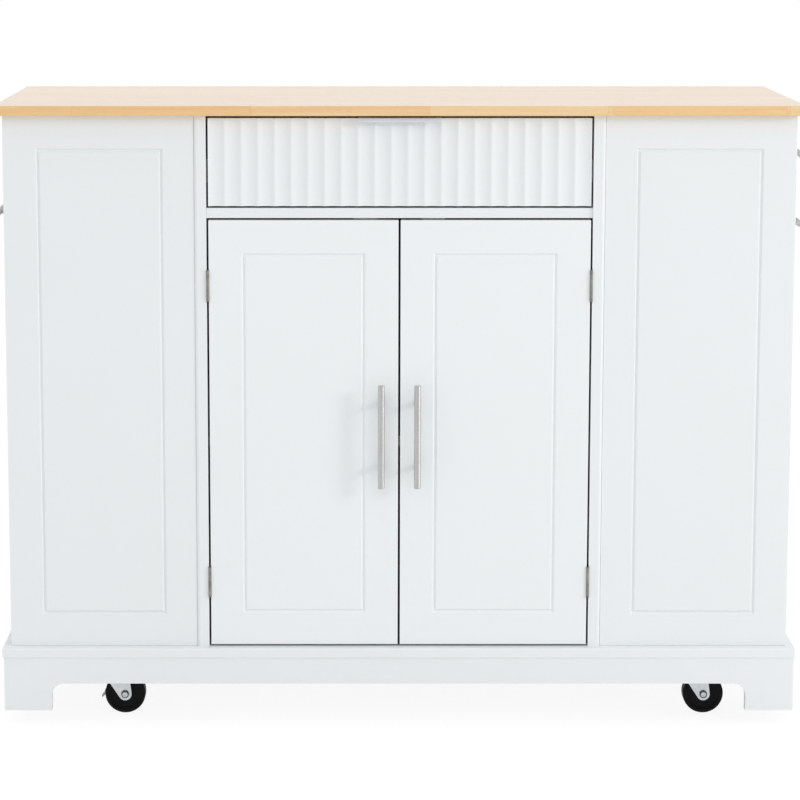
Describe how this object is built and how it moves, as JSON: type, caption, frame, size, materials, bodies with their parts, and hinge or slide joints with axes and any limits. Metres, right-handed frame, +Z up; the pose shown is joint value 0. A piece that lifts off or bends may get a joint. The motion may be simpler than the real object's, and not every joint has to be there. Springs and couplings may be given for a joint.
{
  "type": "drop leaf kitchen island",
  "caption": "Kitchen island on swivel casters with a wooden worktop, rear drop leaf, fluted drawer, panelled double doors, end door, side drawer and tilting bin flap.",
  "frame": {"origin": "on the floor under the middle of the whole object, leaf hanging", "axes": "+X to the right as seen from the doors, +Y to the back, +Z up"},
  "size_m": [1.238, 0.492, 0.94],
  "materials": {
    "oiled_wood": "solid rubberwood staves, oiled",
    "white_paint": "satin white paint on MDF",
    "white_board": "white melamine-faced board",
    "raw_wood": "plain softwood",
    "nickel": "brushed nickel",
    "aluminium": "satin anodised",
    "hinge_steel": "plated steel",
    "zinc": "zinc-plated pressed steel",
    "black_wheel": "black hard rubber",
    "white_plastic": "moulded white plastic"
  },
  "bodies": {
    "root": {"worktop": "oiled_wood", "bottom_board": "white_paint", "front_panel_left": "white_paint", "front_panel_right": "white_paint", "partition_left": "white_paint", "partition_right": "white_paint", "back_panel": "white_paint", "cabinet_rails": "white_paint", "plinth_front": "white_paint", "plinth_back": "white_paint", "plinth_ends": "white_paint", "shelves": "white_board", "caster_blocks": "raw_wood", "flap_stops": "raw_wood", "hinge_frame_leaves": "hinge_steel", "hinge_pins": "hinge_steel", "leaf_hinge_top_plates": "hinge_steel", "shelf_pins": "hinge_steel", "caster_plates": "zinc", "stay_brackets": "zinc", "runner_channels": "zinc", "magnetic_catches": "white_plastic"},
    "drop_leaf": {"drop_leaf": "oiled_wood", "leaf_hinge_flap_plates": "hinge_steel", "stay_rails": "zinc"},
    "stay_left": {"stay_arm_left": "zinc"},
    "stay_right": {"stay_arm_right": "zinc"},
    "front_drawer": {"front_drawer_face": "white_paint", "front_drawer_pull": "aluminium", "front_drawer_box": "white_board", "front_drawer_base": "white_board", "front_drawer_slides": "zinc"},
    "door_left": {"door_left": "white_paint", "door_handle_left": "nickel", "door_fittings_left": "hinge_steel"},
    "door_right": {"door_right": "white_paint", "door_handle_right": "nickel", "door_fittings_right": "hinge_steel"},
    "end_door": {"end_door": "white_paint", "end_door_rail": "nickel", "end_door_fittings": "hinge_steel"},
    "side_drawer": {"side_drawer_face": "white_paint", "side_drawer_handle": "nickel", "side_drawer_box": "white_board", "side_drawer_slides": "zinc"},
    "bin_flap": {"bin_flap": "white_paint", "bin_flap_handle": "nickel", "bin_flap_fittings": "hinge_steel", "bin_cradle": "white_board"},
    "swivel_front_left": {"caster_fork_front_left": "zinc"},
    "wheel_front_left": {"caster_wheel_front_left": "black_wheel"},
    "swivel_front_right": {"caster_fork_front_right": "zinc"},
    "wheel_front_right": {"caster_wheel_front_right": "black_wheel"},
    "swivel_rear_left": {"caster_fork_rear_left": "zinc"},
    "wheel_rear_left": {"caster_wheel_rear_left": "black_wheel"},
    "swivel_rear_right": {"caster_fork_rear_right": "zinc"},
    "wheel_rear_right": {"caster_wheel_rear_right": "black_wheel"},
    "brake_front_left": {"brake_lever_front_left": "zinc"},
    "brake_rear_left": {"brake_lever_rear_left": "zinc"}
  },
  "joints": [
    {"name": "leaf_hinge", "type": "hinge", "parent": "root", "child": "drop_leaf", "pos_m": [0, 0.2285, 0.9225], "axis": [1, 0, 0], "range_deg": [0, 90]},
    {"name": "stay_left_hinge", "type": "hinge", "parent": "root", "child": "stay_left", "pos_m": [-0.3, 0.218, 0.8225], "axis": [1, 0, 0], "range_deg": [0, 124.2]},
    {"name": "stay_right_hinge", "type": "hinge", "parent": "root", "child": "stay_right", "pos_m": [0.3, 0.218, 0.8225], "axis": [1, 0, 0], "range_deg": [0, 124.2]},
    {"name": "front_drawer_slide", "type": "slide", "parent": "root", "child": "front_drawer", "axis": [0, -1, 0], "range_m": [0, 0.26]},
    {"name": "door_left_hinge", "type": "hinge", "parent": "root", "child": "door_left", "pos_m": [-0.2855, -0.216, 0.44625], "axis": [0, 0, -1], "range_deg": [0, 110]},
    {"name": "door_right_hinge", "type": "hinge", "parent": "root", "child": "door_right", "pos_m": [0.2855, -0.216, 0.44625], "axis": [0, 0, 1], "range_deg": [0, 110]},
    {"name": "end_door_hinge", "type": "hinge", "parent": "root", "child": "end_door", "pos_m": [-0.589, 0.1885, 0.52], "axis": [0, 0, -1], "range_deg": [0, 110]},
    {"name": "side_drawer_slide", "type": "slide", "parent": "root", "child": "side_drawer", "axis": [1, 0, 0], "range_m": [0, 0.19]},
    {"name": "bin_flap_hinge", "type": "hinge", "parent": "root", "child": "bin_flap", "pos_m": [0.589, 0, 0.1215], "axis": [0, 1, 0], "range_deg": [0, 35]},
    {"name": "swivel_front_left", "type": "hinge", "parent": "root", "child": "swivel_front_left", "pos_m": [-0.445, -0.15, 0.075], "axis": [0, 0, 1], "continuous": true},
    {"name": "roll_front_left", "type": "hinge", "parent": "swivel_front_left", "child": "wheel_front_left", "pos_m": [-0.42, -0.15, 0.031], "axis": [0, 1, 0], "continuous": true},
    {"name": "swivel_front_right", "type": "hinge", "parent": "root", "child": "swivel_front_right", "pos_m": [0.445, -0.15, 0.075], "axis": [0, 0, 1], "continuous": true},
    {"name": "roll_front_right", "type": "hinge", "parent": "swivel_front_right", "child": "wheel_front_right", "pos_m": [0.47, -0.15, 0.031], "axis": [0, 1, 0], "continuous": true},
    {"name": "swivel_rear_left", "type": "hinge", "parent": "root", "child": "swivel_rear_left", "pos_m": [-0.445, 0.14, 0.075], "axis": [0, 0, 1], "continuous": true},
    {"name": "roll_rear_left", "type": "hinge", "parent": "swivel_rear_left", "child": "wheel_rear_left", "pos_m": [-0.47, 0.14, 0.031], "axis": [0, 1, 0], "continuous": true},
    {"name": "swivel_rear_right", "type": "hinge", "parent": "root", "child": "swivel_rear_right", "pos_m": [0.445, 0.14, 0.075], "axis": [0, 0, 1], "continuous": true},
    {"name": "roll_rear_right", "type": "hinge", "parent": "swivel_rear_right", "child": "wheel_rear_right", "pos_m": [0.42, 0.14, 0.031], "axis": [0, 1, 0], "continuous": true},
    {"name": "brake_front_left", "type": "hinge", "parent": "swivel_front_left", "child": "brake_front_left", "pos_m": [-0.432, -0.132, 0.06], "axis": [0, 1, 0], "range_deg": [-12, 0]},
    {"name": "brake_rear_left", "type": "hinge", "parent": "swivel_rear_left", "child": "brake_rear_left", "pos_m": [-0.458, 0.122, 0.06], "axis": [0, -1, 0], "range_deg": [-12, 0]}
  ],
  "couplings": [
    {"joint": "stay_left_hinge", "follows": "leaf_hinge", "ratio": 1.38},
    {"joint": "stay_right_hinge", "follows": "leaf_hinge", "ratio": 1.38}
  ]
}
